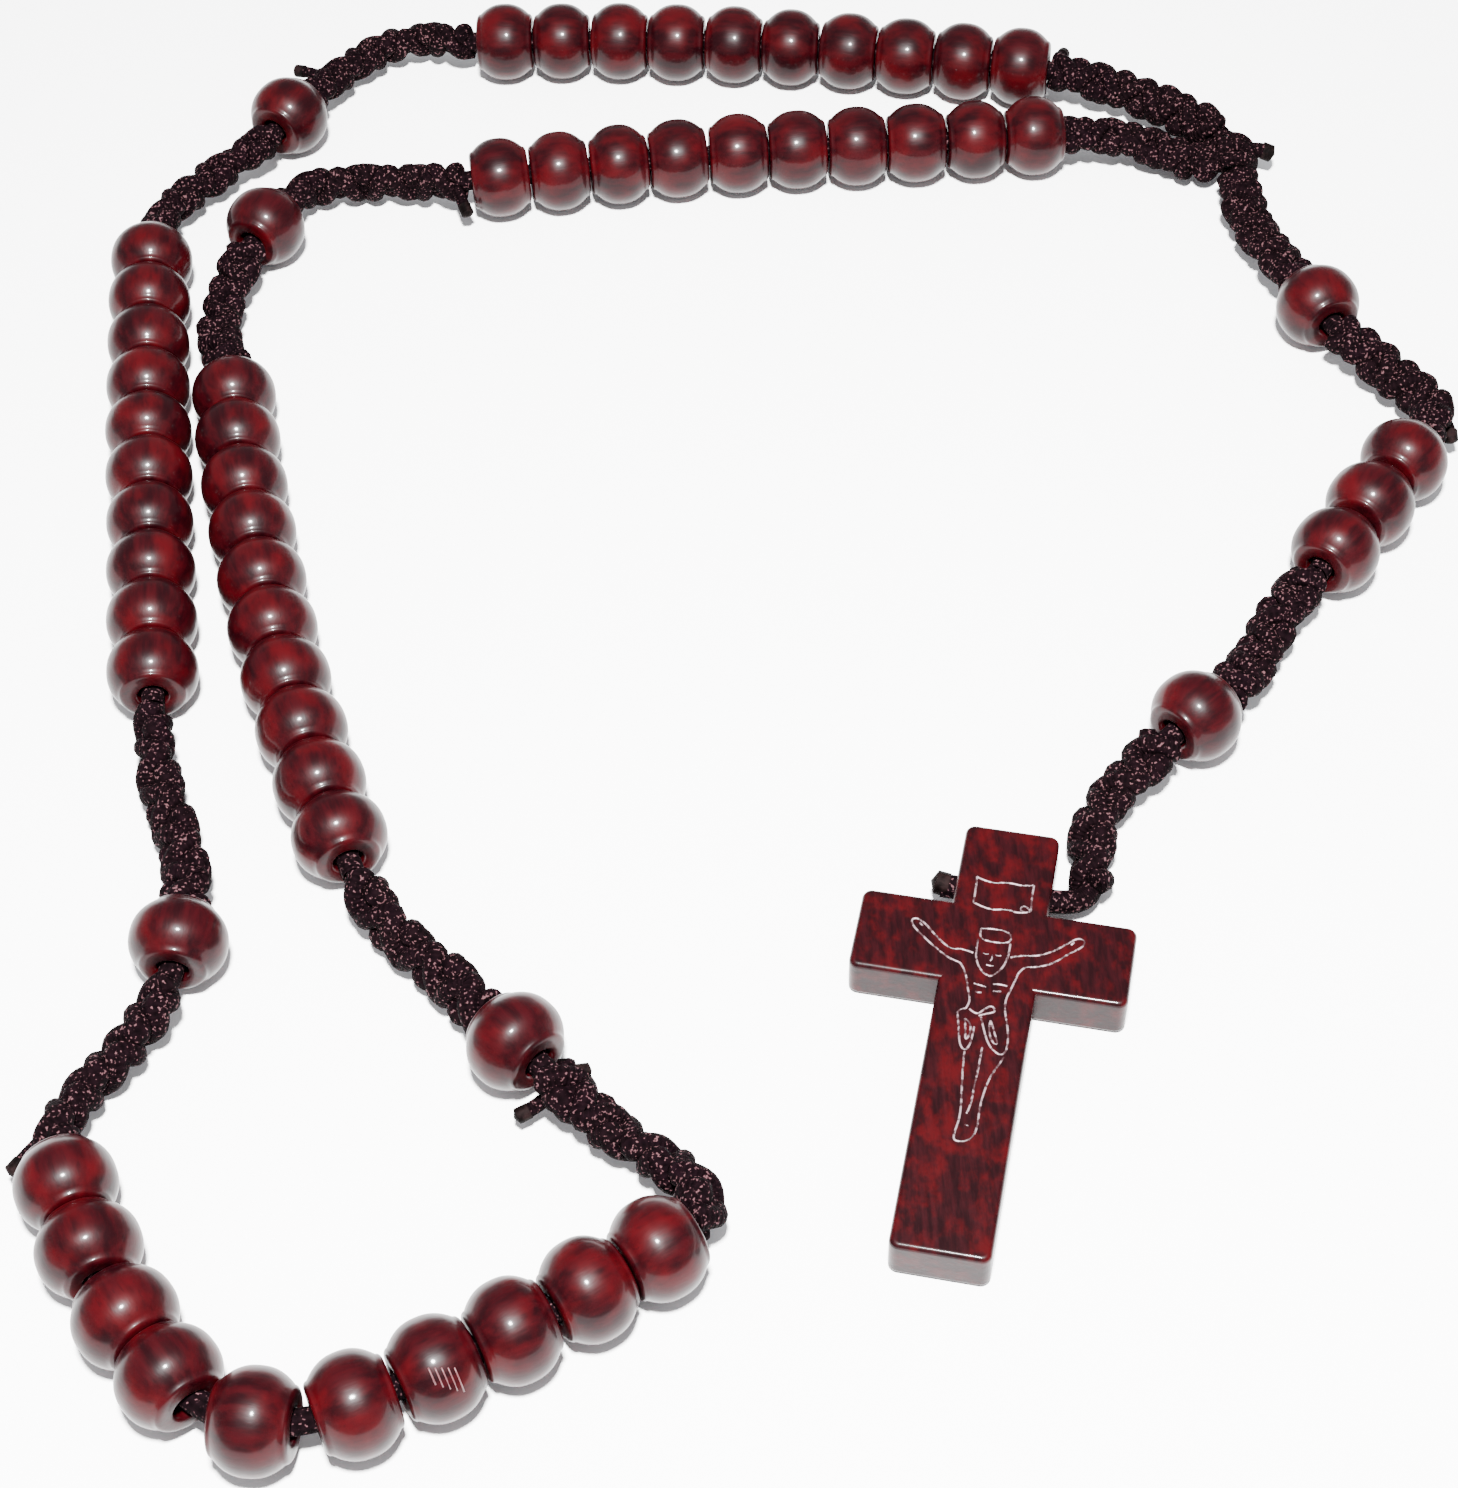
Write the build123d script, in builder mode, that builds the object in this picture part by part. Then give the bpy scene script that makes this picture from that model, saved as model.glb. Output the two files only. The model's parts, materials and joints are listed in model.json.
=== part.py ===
"""A corded rosary laid out on a table: 59 turned wooden beads, 14 knotted spacers and a wooden cross.

Millimetres, +Z up. The origin is on the table under the middle of the whole object, and the
cross lies at the right-hand front. Each stretch of cord runs between two folds, where the limp
cord bends. Beads and spacers are laid out along it from their own sizes.
"""

from build123d import *
from math import radians, sin, tan
import os

# ---- beads -------------------------------------------------------------------------------
bead_diameter = 8.0
bead_length = 6.0
bead_face_diameter = 5.2
bead_edge_radius = 0.55
bead_bore_diameter = 2.6
bead_gap = 0.12
trio_gap = 0.85

# ---- cord and knotted spacers --------------------------------------------------------------
cord_diameter = 2.0
cord_fit = 0.04
knot_width = 4.5
knot_thickness = 3.1
knot_round = 0.6
knot_overlap = 0.5
knot_pitch = 2.7
spacer_gap = 0.6

# ---- folds: the free cord left between a bead and a spacer, or a spacer and the junction -------
fold_to_bead = 0.6
fold_to_spacer = 0.8
fold_to_cord = 0.65

# ---- junction knot -----------------------------------------------------------------------
junction_centre = (49.2, 56.7)
junction_width = 4.2
junction_length = 3.4
junction_thickness = 3.6
junction_round = 1.0

# ---- cross -------------------------------------------------------------------------------
cross_length = 40.4
cross_span = 22.4
cross_bar = 7.8
cross_head = 8.1
cross_thickness = 4.0
cross_corner_radius = 0.8
cross_edge_radius = 0.45
cross_top = (18.36, -30.6)
cross_heading = -103.1
cross_bore_diameter = 2.6
cross_bore_from_top = 5.3

# ---- routes of the cord, each from one fold to the next ---------------------------------------
back_route = [
    (-30.0, 79.2, 4.0),
    (-17.1, 78.9, 4.0),
    (-4.6, 77.6, 4.0),
    (7.9, 75.9, 4.0),
    (20.0, 73.4, 4.0),
    (31.9, 70.9, 4.0),
    (37.0, 69.3, 3.2),
    (41.6, 66.6, 2.9),
    (45.6, 63.1, 3.0),
    (48.4, 59.8, 3.2),
]
middle_route = [
    (-30.0, 55.8, 4.0),
    (-17.3, 57.4, 4.0),
    (-5.1, 58.7, 4.0),
    (7.3, 59.2, 4.0),
    (19.9, 59.5, 4.0),
    (32.5, 60.1, 4.0),
    (37.6, 60.5, 3.1),
    (42.0, 58.8, 2.5),
    (45.4, 56.3, 2.3),
]
outer_corner_route = [
    (-30.0, 79.2, 4.0),
    (-33.4, 81.0, 3.3),
    (-37.4, 81.6, 2.8),
    (-41.2, 79.5, 2.7),
    (-44.4, 75.8, 2.8),
    (-47.0, 71.4, 3.7),
    (-51.0, 63.6, 4.0),
    (-54.5, 61.4, 3.0),
    (-58.0, 57.8, 2.7),
    (-60.9, 53.6, 3.1),
    (-61.3, 48.7, 4.0),
]
inner_corner_route = [
    (-30.0, 55.8, 4.0),
    (-33.8, 57.0, 3.1),
    (-38.3, 57.8, 2.7),
    (-43.0, 57.9, 2.7),
    (-46.9, 56.5, 3.1),
    (-48.6, 53.0, 3.9),
    (-51.6, 46.4, 4.0),
    (-53.0, 42.0, 3.1),
    (-53.8, 37.4, 2.7),
    (-53.4, 32.9, 3.1),
    (-51.6, 28.6, 4.0),
]
outer_side_route = [
    (-61.3, 48.7, 4.0),
    (-60.5, 36.2, 4.0),
    (-59.2, 23.9, 4.0),
    (-57.8, 11.9, 4.0),
    (-56.3, -0.6, 4.0),
    (-54.8, -13.9, 4.0),
]
inner_side_route = [
    (-51.6, 28.6, 4.0),
    (-49.9, 16.1, 4.0),
    (-47.2, 3.5, 4.0),
    (-44.3, -8.9, 4.0),
    (-40.6, -20.9, 4.0),
    (-36.2, -33.0, 4.0),
]
outer_lower_route = [
    (-54.8, -13.9, 4.0),
    (-54.5, -17.6, 3.2),
    (-53.6, -21.9, 2.7),
    (-51.8, -26.3, 2.6),
    (-50.4, -31.0, 3.0),
    (-49.8, -35.6, 3.9),
    (-50.4, -42.6, 4.0),
]
inner_lower_route = [
    (-36.2, -33.0, 4.0),
    (-34.5, -36.0, 3.2),
    (-31.6, -39.4, 2.7),
    (-28.2, -42.7, 2.7),
    (-25.3, -46.9, 3.8),
    (-20.2, -52.5, 4.0),
]
front_route = [
    (-50.4, -42.6, 4.0),
    (-51.9, -46.0, 3.2),
    (-54.4, -49.6, 2.7),
    (-57.2, -53.4, 2.8),
    (-58.2, -57.4, 3.9),
    (-54.9, -65.4, 4.0),
    (-52.4, -70.9, 4.0),
    (-44.6, -80.9, 4.0),
    (-37.8, -82.1, 4.0),
    (-31.6, -79.8, 4.0),
    (-20.5, -74.2, 4.0),
    (-15.0, -70.9, 4.0),
    (-7.7, -66.3, 4.0),
    (-8.6, -63.2, 3.5),
    (-11.4, -60.4, 2.9),
    (-14.0, -58.4, 2.7),
    (-16.9, -55.9, 2.9),
    (-20.2, -52.5, 4.0),
]
# corners inside the front row, where the cord turns in the gap between two beads
front_tight_corners = {7: 4.0, 8: 6.0, 12: 2.0}
pendant_1_route = [
    (49.2, 54.2, 2.8),
    (49.0, 50.2, 2.6),
    (49.5, 45.6, 2.7),
    (50.9, 40.9, 3.3),
    (52.6, 35.6, 4.0),
    (54.9, 29.0, 4.0),
]
pendant_2_route = [
    (54.9, 29.0, 4.0),
    (57.7, 26.4, 3.1),
    (60.0, 22.7, 2.7),
    (62.2, 19.9, 3.0),
    (62.3, 16.7, 3.5),
    (60.3, 13.6, 4.0),
    (56.4, 8.4, 4.0),
    (52.2, 2.7, 4.0),
    (47.9, -3.1, 4.0),
]
pendant_3_route = [
    (47.9, -3.1, 4.0),
    (45.3, -5.0, 3.2),
    (43.1, -8.7, 2.7),
    (40.9, -12.6, 2.9),
    (38.2, -16.3, 3.9),
    (32.3, -21.4, 4.0),
]
pendant_4_route = [
    (32.3, -21.4, 4.0),
    (29.3, -24.2, 3.1),
    (26.4, -27.0, 2.6),
    (24.9, -30.0, 2.4),
    (24.8, -32.9, 2.2),
    (24.0, -37.4, 2.0),
    (17.2, -35.7, 2.0),
    (12.1, -34.6, 2.0),
]
# the cord that stays bare after the last spacer: down past the head and through its bore
bare_cord_at_cross = 16.6

bead_radius = bead_diameter / 2
cord_radius = cord_diameter / 2
arc_share = 0.45

os.makedirs("parts", exist_ok=True)


# ---- cord paths ----------------------------------------------------------------------------
def corner_radii(points, tight_corners):
    """Each corner's arc takes 0.45 of the shorter run beside it, except the corners named tight."""
    corners = [Vector(*point) for point in points]
    radii = []
    for before, corner, after in zip(corners, corners[1:], corners[2:]):
        turn = (corner - before).get_angle(after - corner)
        shorter = min((corner - before).length, (after - corner).length)
        radii.append(arc_share * shorter / tan(radians(turn / 2)))
    for corner_number, radius in tight_corners.items():
        radii[corner_number - 1] = radius
    return radii


def cord_path(name, points, tight_corners={}):
    """The middle line of one stretch of cord: straight runs joined by tangent arcs."""
    radii = corner_radii(points, tight_corners)
    print(name, "arc radii", [round(radius, 1) for radius in radii])
    with BuildLine() as line:
        FilletPolyline(*points, radius=radii)
    return line.wire()


def station(path, distance):
    """The point at a distance along a path."""
    return path @ (distance / path.length)


def heading(path, distance):
    """The direction of a path at a distance along it."""
    return path % (distance / path.length)


# ---- laying out beads and spacers along a path -------------------------------------------------
def group_length(count):
    return count * bead_length + (count - 1) * bead_gap


def bead_plane(path, start, count):
    """The plane of a straight group of beads: its Z is the bore, level with the table."""
    first = station(path, start)
    last = station(path, min(start + group_length(count), path.length))
    middle = (first + last) / 2
    along = Vector(last.X - first.X, last.Y - first.Y, 0)
    return Plane(origin=(middle.X, middle.Y, bead_radius), z_dir=along)


def face_gap(before, before_length, after, after_length, reach):
    """The clearance between two facing ends, at the inside of the turn between them."""
    leaving = before.origin + before.z_dir * (before_length / 2)
    arriving = after.origin - after.z_dir * (after_length / 2)
    across = (before.z_dir + after.z_dir).normalized()
    half_turn = radians(before.z_dir.get_angle(after.z_dir) / 2)
    return (arriving - leaving).dot(across) - 2 * reach * sin(half_turn)


def row_planes(path, start, counts, clearance):
    """Places the groups of a row so that facing ends stay the clearance apart, whatever their turn."""
    face_radius = bead_face_diameter / 2 - 0.4 * bead_edge_radius
    lengths = [group_length(count) for count in counts]
    gaps = [clearance] * (len(counts) - 1)
    for _ in range(6):
        starts = [start]
        for length, gap in zip(lengths, gaps):
            starts.append(starts[-1] + length + gap)
        planes = [bead_plane(path, s, count) for s, count in zip(starts, counts)]
        for i in range(len(gaps)):
            found = face_gap(planes[i], lengths[i], planes[i + 1], lengths[i + 1], face_radius)
            gaps[i] += clearance - found
    return planes, starts[-1] + lengths[-1] - start


def turned_room(path, at, axis):
    """The extra room a knot needs beside a bead, where the cord leaves the bead at an angle."""
    turn = heading(path, at).get_angle(axis)
    return (knot_width / 2 - knot_round) * sin(radians(turn))


# ---- pieces ----------------------------------------------------------------------------------
with BuildPart() as bead:
    with BuildSketch(Plane.XZ) as bead_half:
        with BuildLine():
            barrel = ThreePointArc(
                (bead_face_diameter / 2, -bead_length / 2),
                (bead_radius, 0),
                (bead_face_diameter / 2, bead_length / 2),
            )
            upper_face = Line(barrel @ 1, (bead_bore_diameter / 2, bead_length / 2))
            bore_wall = Line(upper_face @ 1, (bead_bore_diameter / 2, -bead_length / 2))
            Line(bore_wall @ 1, barrel @ 0)
        make_face()
        outer_corners = bead_half.vertices().group_by(Axis.X)[-1]
        fillet(outer_corners, bead_edge_radius)
    revolve(axis=Axis.Z)


def export_beads(name, plane, count):
    """One node: a straight group of beads that turn together on the cord."""
    offsets = [(i - (count - 1) / 2) * (bead_length + bead_gap) for i in range(count)]
    with BuildPart() as group:
        with Locations(plane.location):
            with Locations(*[(0, 0, offset) for offset in offsets]):
                add(bead.part)
    group.part.label = name
    export_step(group.part, f"parts/{name}.step")
    centre, along = plane.origin, plane.z_dir
    print(name, [round(v, 2) for v in centre], "axis", [round(v, 4) for v in along])


def knot_block(width, thickness, length, rounding):
    """One square knot: a rounded oval block with the cord along its Z."""
    with BuildPart() as block:
        with BuildSketch(Plane.XY.offset(-length / 2)):
            SlotOverall(width, thickness)
        extrude(amount=length)
        ends = block.edges().group_by(Axis.Z)[0] + block.edges().group_by(Axis.Z)[-1]
        fillet(ends, min(rounding, 0.45 * length))
    return block.part


def export_spacer(name, path, start, end, rolls, core):
    """One node: a row of square knots tied round the cord, rolled about it from one angle to another."""
    count = max(round((end - start) / knot_pitch), 2)
    pitch = (end - start) / count
    knot = knot_block(knot_width, knot_thickness, pitch + knot_overlap, knot_round)
    with BuildPart() as spacer:
        for i in range(count):
            middle = start + (i + 0.5) * pitch
            along = heading(path, middle)
            across = Vector(0, 0, 1).cross(along)
            roll = rolls[0] + (rolls[1] - rolls[0]) * i / (count - 1)
            place = Plane(origin=station(path, middle), x_dir=across, z_dir=along)
            with Locations(place.rotated((0, 0, roll)).location):
                add(knot)
        add(core, mode=Mode.SUBTRACT)
    spacer.part.label = name
    export_step(spacer.part, f"parts/{name}.step")
    print(name, "knots", count, "length", round(end - start, 1), "solids", len(spacer.solids()))


def cord_tube(path, radius):
    """A round tube along a path."""
    with BuildPart() as tube:
        with BuildSketch(Plane(origin=path @ 0, z_dir=path % 0)):
            Circle(radius)
        sweep(path=path)
    return tube.part


def cord_solid(name, path, start, end):
    """The cord along a path, between two distances. Its volume is compared with section times length."""
    trimmed = path.trim(start / path.length, end / path.length)
    solid = cord_tube(trimmed, cord_radius)
    expected = Circle(cord_radius, mode=Mode.PRIVATE).area * trimmed.length
    print(name, "cord length", round(trimmed.length, 1), "volume ratio", round(solid.volume / expected, 4))
    return solid


def export_cord(name, solids):
    with BuildPart() as cord:
        add(solids)
    cord.part.label = name
    export_step(cord.part, f"parts/{name}.step")


def lay_out(path, items, head, tail):
    """Places the items of one stretch. Beads take their own length, and the spacers share the rest.

    An item is ("beads", [(node, count), ...], clearance) or ("spacer", node, share, rolls). head and tail
    are the bare cord before the first item and after the last.
    """
    core = cord_tube(path, cord_radius + cord_fit)
    shares = sum(item[2] for item in items if item[0] == "spacer")
    groups = [group for item in items if item[0] == "beads" for group in item[1]]
    bead_total = sum(group_length(count) for node, count in groups)
    gaps = [spacer_gap] * (len(items) - 1)
    for _ in range(6):
        room = path.length - head - tail - bead_total - sum(gaps)
        at = head
        bead_total = 0
        laid = []
        for i, item in enumerate(items):
            if item[0] == "beads":
                planes, length = row_planes(path, at, [count for node, count in item[1]], item[2])
                bead_total += length
                laid.append((item, planes))
                if i > 0:
                    gaps[i - 1] = spacer_gap + turned_room(path, at - gaps[i - 1], planes[0].z_dir)
                if i < len(gaps):
                    gaps[i] = spacer_gap + turned_room(path, at + length + gaps[i], planes[-1].z_dir)
            else:
                length = room * item[2] / shares
                laid.append((item, (at, at + length)))
            at += length + (gaps[i] if i < len(gaps) else 0)
    for item, place in laid:
        if item[0] == "beads":
            for (node, count), plane in zip(item[1], place):
                export_beads(node, plane, count)
        else:
            export_spacer(item[1], path, place[0], place[1], item[3], core)


def decade(number, counts=(2, 2, 2, 2, 2)):
    """The nodes of one decade: its ten beads in straight groups, named by their bead numbers."""
    nodes = []
    first = 1
    for count in counts:
        last = first + count - 1
        span = f"{first:02d}_{last:02d}" if count > 1 else f"{first:02d}"
        nodes.append((f"decade_{number}_beads_{span}" if count > 1 else f"decade_{number}_bead_{span}", count))
        first = last + 1
    return nodes


# ---- loop: back and middle rows ----------------------------------------------------------------
back = cord_path("back", back_route)
lay_out(
    back,
    [("beads", decade(1), bead_gap), ("spacer", "knotted_spacer_01", 1, (0, 65))],
    fold_to_bead,
    0,
)
middle = cord_path("middle", middle_route)
lay_out(
    middle,
    [("beads", decade(5), bead_gap), ("spacer", "knotted_spacer_10", 1, (0, 0))],
    fold_to_bead,
    0,
)
export_cord(
    "loop_cord_rows",
    [
        cord_solid("back", back, fold_to_cord, back.length),
        cord_solid("middle", middle, fold_to_cord, middle.length),
    ],
)

# ---- loop: the corner at the left-hand back ------------------------------------------------------
outer_corner = cord_path("outer corner", outer_corner_route)
lay_out(
    outer_corner,
    [
        ("spacer", "knotted_spacer_02", 22.6, (70, 10)),
        ("beads", [("single_bead_1", 1)], bead_gap),
        ("spacer", "knotted_spacer_03", 19.6, (14, 40)),
    ],
    fold_to_spacer,
    fold_to_spacer,
)
inner_corner = cord_path("inner corner", inner_corner_route)
lay_out(
    inner_corner,
    [
        ("spacer", "knotted_spacer_09", 21.0, (80, 60)),
        ("beads", [("single_bead_4", 1)], bead_gap),
        ("spacer", "knotted_spacer_08", 18.6, (0, 25)),
    ],
    fold_to_spacer,
    fold_to_spacer,
)
export_cord(
    "loop_cord_corner",
    [
        cord_solid("outer corner", outer_corner, fold_to_cord, outer_corner.length - fold_to_cord),
        cord_solid("inner corner", inner_corner, fold_to_cord, inner_corner.length - fold_to_cord),
    ],
)

# ---- loop: the two side rows ---------------------------------------------------------------------
outer_side = cord_path("outer side", outer_side_route)
lay_out(outer_side, [("beads", decade(2), bead_gap)], fold_to_bead, fold_to_bead)
inner_side = cord_path("inner side", inner_side_route)
lay_out(inner_side, [("beads", decade(4), bead_gap)], fold_to_bead, fold_to_bead)
export_cord(
    "loop_cord_sides",
    [
        cord_solid("outer side", outer_side, fold_to_cord, outer_side.length - fold_to_cord),
        cord_solid("inner side", inner_side, fold_to_cord, inner_side.length - fold_to_cord),
    ],
)

# ---- loop: the two spacers and beads before the front row ----------------------------------------
outer_lower = cord_path("outer lower", outer_lower_route)
lay_out(
    outer_lower,
    [("spacer", "knotted_spacer_04", 1, (75, 15)), ("beads", [("single_bead_2", 1)], bead_gap)],
    fold_to_spacer,
    fold_to_bead,
)
inner_lower = cord_path("inner lower", inner_lower_route)
lay_out(
    inner_lower,
    [("spacer", "knotted_spacer_07", 1, (65, 50)), ("beads", [("single_bead_3", 1)], bead_gap)],
    fold_to_spacer,
    fold_to_bead,
)
export_cord(
    "loop_cord_lower",
    [
        cord_solid("outer lower", outer_lower, fold_to_cord, outer_lower.length - fold_to_cord),
        cord_solid("inner lower", inner_lower, fold_to_cord, inner_lower.length - fold_to_cord),
    ],
)

# ---- loop: the front row, bent like a hook ---------------------------------------------------------
front = cord_path("front", front_route, front_tight_corners)
lay_out(
    front,
    [
        ("spacer", "knotted_spacer_05", 17.2, (55, 70)),
        ("beads", decade(3, (2, 2, 1, 1, 2, 2)), bead_gap),
        ("spacer", "knotted_spacer_06", 18.4, (85, 10)),
    ],
    fold_to_spacer,
    fold_to_spacer,
)
export_cord("loop_cord_front", [cord_solid("front", front, fold_to_cord, front.length - fold_to_cord)])

# ---- junction of the loop and the pendant ------------------------------------------------------------
with BuildPart() as junction_knot:
    add(knot_block(junction_width, junction_thickness, junction_length, junction_round))
junction_plane = Plane(origin=(*junction_centre, junction_thickness / 2 + 0.9), x_dir=(1, 0, 0), z_dir=(0, -1, 0))
junction_knot_placed = junction_plane.location * junction_knot.part
junction_knot_placed.label = "junction_knot"
export_step(junction_knot_placed, "parts/junction_knot.step")

# ---- pendant ---------------------------------------------------------------------------------------
pendant_1 = cord_path("pendant 1", pendant_1_route)
lay_out(
    pendant_1,
    [("spacer", "knotted_spacer_11", 1, (0, 0)), ("beads", [("single_bead_5", 1)], bead_gap)],
    fold_to_spacer,
    fold_to_bead,
)
export_cord(
    "pendant_cord_1",
    [cord_solid("pendant 1", pendant_1, fold_to_cord, pendant_1.length - fold_to_cord)],
)
pendant_2 = cord_path("pendant 2", pendant_2_route)
trio = [(f"trio_bead_{i}", 1) for i in (1, 2, 3)]
lay_out(
    pendant_2,
    [("spacer", "knotted_spacer_12", 1, (0, 50)), ("beads", trio, trio_gap)],
    fold_to_spacer,
    fold_to_bead,
)
export_cord(
    "pendant_cord_2",
    [cord_solid("pendant 2", pendant_2, fold_to_cord, pendant_2.length - fold_to_cord)],
)
pendant_3 = cord_path("pendant 3", pendant_3_route)
lay_out(
    pendant_3,
    [("spacer", "knotted_spacer_13", 1, (20, 0)), ("beads", [("single_bead_6", 1)], bead_gap)],
    fold_to_spacer,
    fold_to_bead,
)
export_cord(
    "pendant_cord_3",
    [cord_solid("pendant 3", pendant_3, fold_to_cord, pendant_3.length - fold_to_cord)],
)
pendant_4 = cord_path("pendant 4", pendant_4_route)
lay_out(
    pendant_4,
    [("spacer", "knotted_spacer_14", 1, (0, 70))],
    fold_to_spacer,
    bare_cord_at_cross,
)
export_cord("pendant_cord_4", [cord_solid("pendant 4", pendant_4, fold_to_cord, pendant_4.length)])

# ---- cross -----------------------------------------------------------------------------------------
# drawn with its long axis along local X, from the top of the head at 0 to the foot
with BuildPart() as cross:
    with BuildSketch() as cross_outline:
        with Locations((cross_length / 2, 0)):
            Rectangle(cross_length, cross_bar)
        with Locations((cross_head + cross_bar / 2, 0)):
            Rectangle(cross_bar, cross_span)
        outer = cross_outline.vertices().group_by(Axis.X)
        tips = outer[0] + outer[-1] + cross_outline.vertices().group_by(Axis.Y)[0]
        tips += cross_outline.vertices().group_by(Axis.Y)[-1]
        fillet(tips, cross_corner_radius)
    extrude(amount=cross_thickness)
    rims = cross.edges().group_by(Axis.Z)[0] + cross.edges().group_by(Axis.Z)[-1]
    fillet(rims, cross_edge_radius)
    bore_plane = Plane(
        origin=(cross_bore_from_top, 0, cross_thickness / 2), x_dir=(1, 0, 0), z_dir=(0, 1, 0)
    )
    with BuildSketch(bore_plane):
        Circle(cross_bore_diameter / 2)
    extrude(amount=cross_span, both=True, mode=Mode.SUBTRACT)
cross_place = Pos(*cross_top, 0) * Rot(0, 0, cross_heading)
cross_placed = cross_place * cross.part
cross_placed.label = "cross"
export_step(cross_placed, "parts/cross.step")
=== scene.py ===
import json
import math
import random

import bpy
from mathutils import Matrix, Vector


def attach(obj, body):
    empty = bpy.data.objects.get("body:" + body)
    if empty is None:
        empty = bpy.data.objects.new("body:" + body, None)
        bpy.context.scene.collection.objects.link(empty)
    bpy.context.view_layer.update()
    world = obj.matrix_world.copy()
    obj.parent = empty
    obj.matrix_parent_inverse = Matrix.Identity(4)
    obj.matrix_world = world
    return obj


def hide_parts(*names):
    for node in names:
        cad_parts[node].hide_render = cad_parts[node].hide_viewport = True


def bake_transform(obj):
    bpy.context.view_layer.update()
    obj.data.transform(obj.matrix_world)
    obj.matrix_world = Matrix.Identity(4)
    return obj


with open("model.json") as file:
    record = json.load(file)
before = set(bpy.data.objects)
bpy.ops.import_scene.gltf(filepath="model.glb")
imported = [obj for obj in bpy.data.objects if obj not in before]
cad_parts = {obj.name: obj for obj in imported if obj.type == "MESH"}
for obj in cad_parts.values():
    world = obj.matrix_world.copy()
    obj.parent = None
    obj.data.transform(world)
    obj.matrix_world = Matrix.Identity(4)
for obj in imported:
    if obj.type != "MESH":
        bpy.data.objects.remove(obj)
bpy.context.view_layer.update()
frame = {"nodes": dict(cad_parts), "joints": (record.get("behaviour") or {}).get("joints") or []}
joints = {j["name"]: j for j in frame["joints"]}

MM = 0.001
CORD_DIAMETER = 0.002
BEAD_RADIUS = 4.0
BEAD_HALF = 3.0
BEAD_FACE = 2.85
BORE_RADIUS = 1.3
PAIR_OFFSET = 3.06
STRAND_RADIUS = 0.00102
KNOT_PITCH = 0.0025


# ---- camera --------------------------------------------------------------------------------------
def add_camera():
    data = bpy.data.cameras.new("view")
    data.sensor_fit = "VERTICAL"
    data.sensor_height = 24.0
    tall_view = math.radians(29.76)
    data.lens = data.sensor_height / 2 / math.tan(tall_view / 2)
    data.clip_start = 0.01
    data.clip_end = 10.0
    cam = bpy.data.objects.new("view", data)
    bpy.context.scene.collection.objects.link(cam)
    elevation = math.radians(50.37)
    roll = math.radians(-2.03)
    forward = Vector((0, math.cos(elevation), -math.sin(elevation)))
    right = Vector((1, 0, 0))
    up = right.cross(forward)
    right, up = (
        right * math.cos(roll) + up * math.sin(roll),
        up * math.cos(roll) - right * math.sin(roll),
    )
    target = Vector((-0.005, -0.017, 0))
    distance = 0.2439
    place = Matrix((right, up, -forward)).transposed().to_4x4()
    place.translation = target - forward * distance
    cam.matrix_world = place
    bpy.context.scene.camera = cam


add_camera()


# ---- shader graphs -------------------------------------------------------------------------------
class Wire:
    """One output of a shader graph. Arithmetic on wires adds maths nodes."""

    def __init__(self, tree, socket):
        self.tree = tree
        self.socket = socket

    def node(self, kind, inputs=None, output=0, **settings):
        made = self.tree.nodes.new(kind)
        for key, value in settings.items():
            setattr(made, key, value)
        for key, value in (inputs or {}).items():
            put(made.inputs[key], value)
        return Wire(self.tree, made.outputs[output])

    def maths(self, operation, other=None, swap=False):
        made = self.tree.nodes.new("ShaderNodeMath")
        made.operation = operation
        pair = [self, other] if not swap else [other, self]
        for slot, value in zip(made.inputs, pair):
            if value is not None:
                put(slot, value)
        return Wire(self.tree, made.outputs[0])

    def __add__(self, other):
        return self.maths("ADD", other)

    def __sub__(self, other):
        return self.maths("SUBTRACT", other)

    def __mul__(self, other):
        return self.maths("MULTIPLY", other)

    def __radd__(self, other):
        return self.maths("ADD", other, True)

    def __rsub__(self, other):
        return self.maths("SUBTRACT", other, True)

    def __rmul__(self, other):
        return self.maths("MULTIPLY", other, True)

    def sine(self):
        return self.maths("SINE")

    def clamp(self, low, high):
        return self.maths("MAXIMUM", low).maths("MINIMUM", high)

    def smooth(self, low, high):
        return self.node(
            "ShaderNodeMapRange",
            {"Value": self, "From Min": low, "From Max": high},
            interpolation_type="SMOOTHSTEP",
        )

    def mix(self, first, second):
        """A colour between two, by this wire."""
        made = self.tree.nodes.new("ShaderNodeMix")
        made.data_type = "RGBA"
        put(made.inputs[0], self)
        put(made.inputs[6], first)
        put(made.inputs[7], second)
        return Wire(self.tree, made.outputs[2])


def put(slot, value):
    if isinstance(value, Wire):
        slot.id_data.links.new(value.socket, slot)
    elif isinstance(value, tuple) and len(value) == 3 and slot.type == "RGBA":
        slot.default_value = (*value, 1)
    else:
        slot.default_value = value


def material(name):
    mat = bpy.data.materials.new(name)
    mat.use_nodes = True
    shader = mat.node_tree.nodes["Principled BSDF"]
    return mat, Wire(mat.node_tree, None), shader.inputs


def noise(graph, place, scale, detail=3.0, rough=0.55):
    inputs = {"Vector": place, "Scale": scale, "Detail": detail, "Roughness": rough}
    return graph.node("ShaderNodeTexNoise", inputs)


def stretched(graph, place, scale, shift=(0, 0, 0)):
    return graph.node("ShaderNodeMapping", {"Vector": place, "Scale": scale, "Location": shift})


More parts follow.
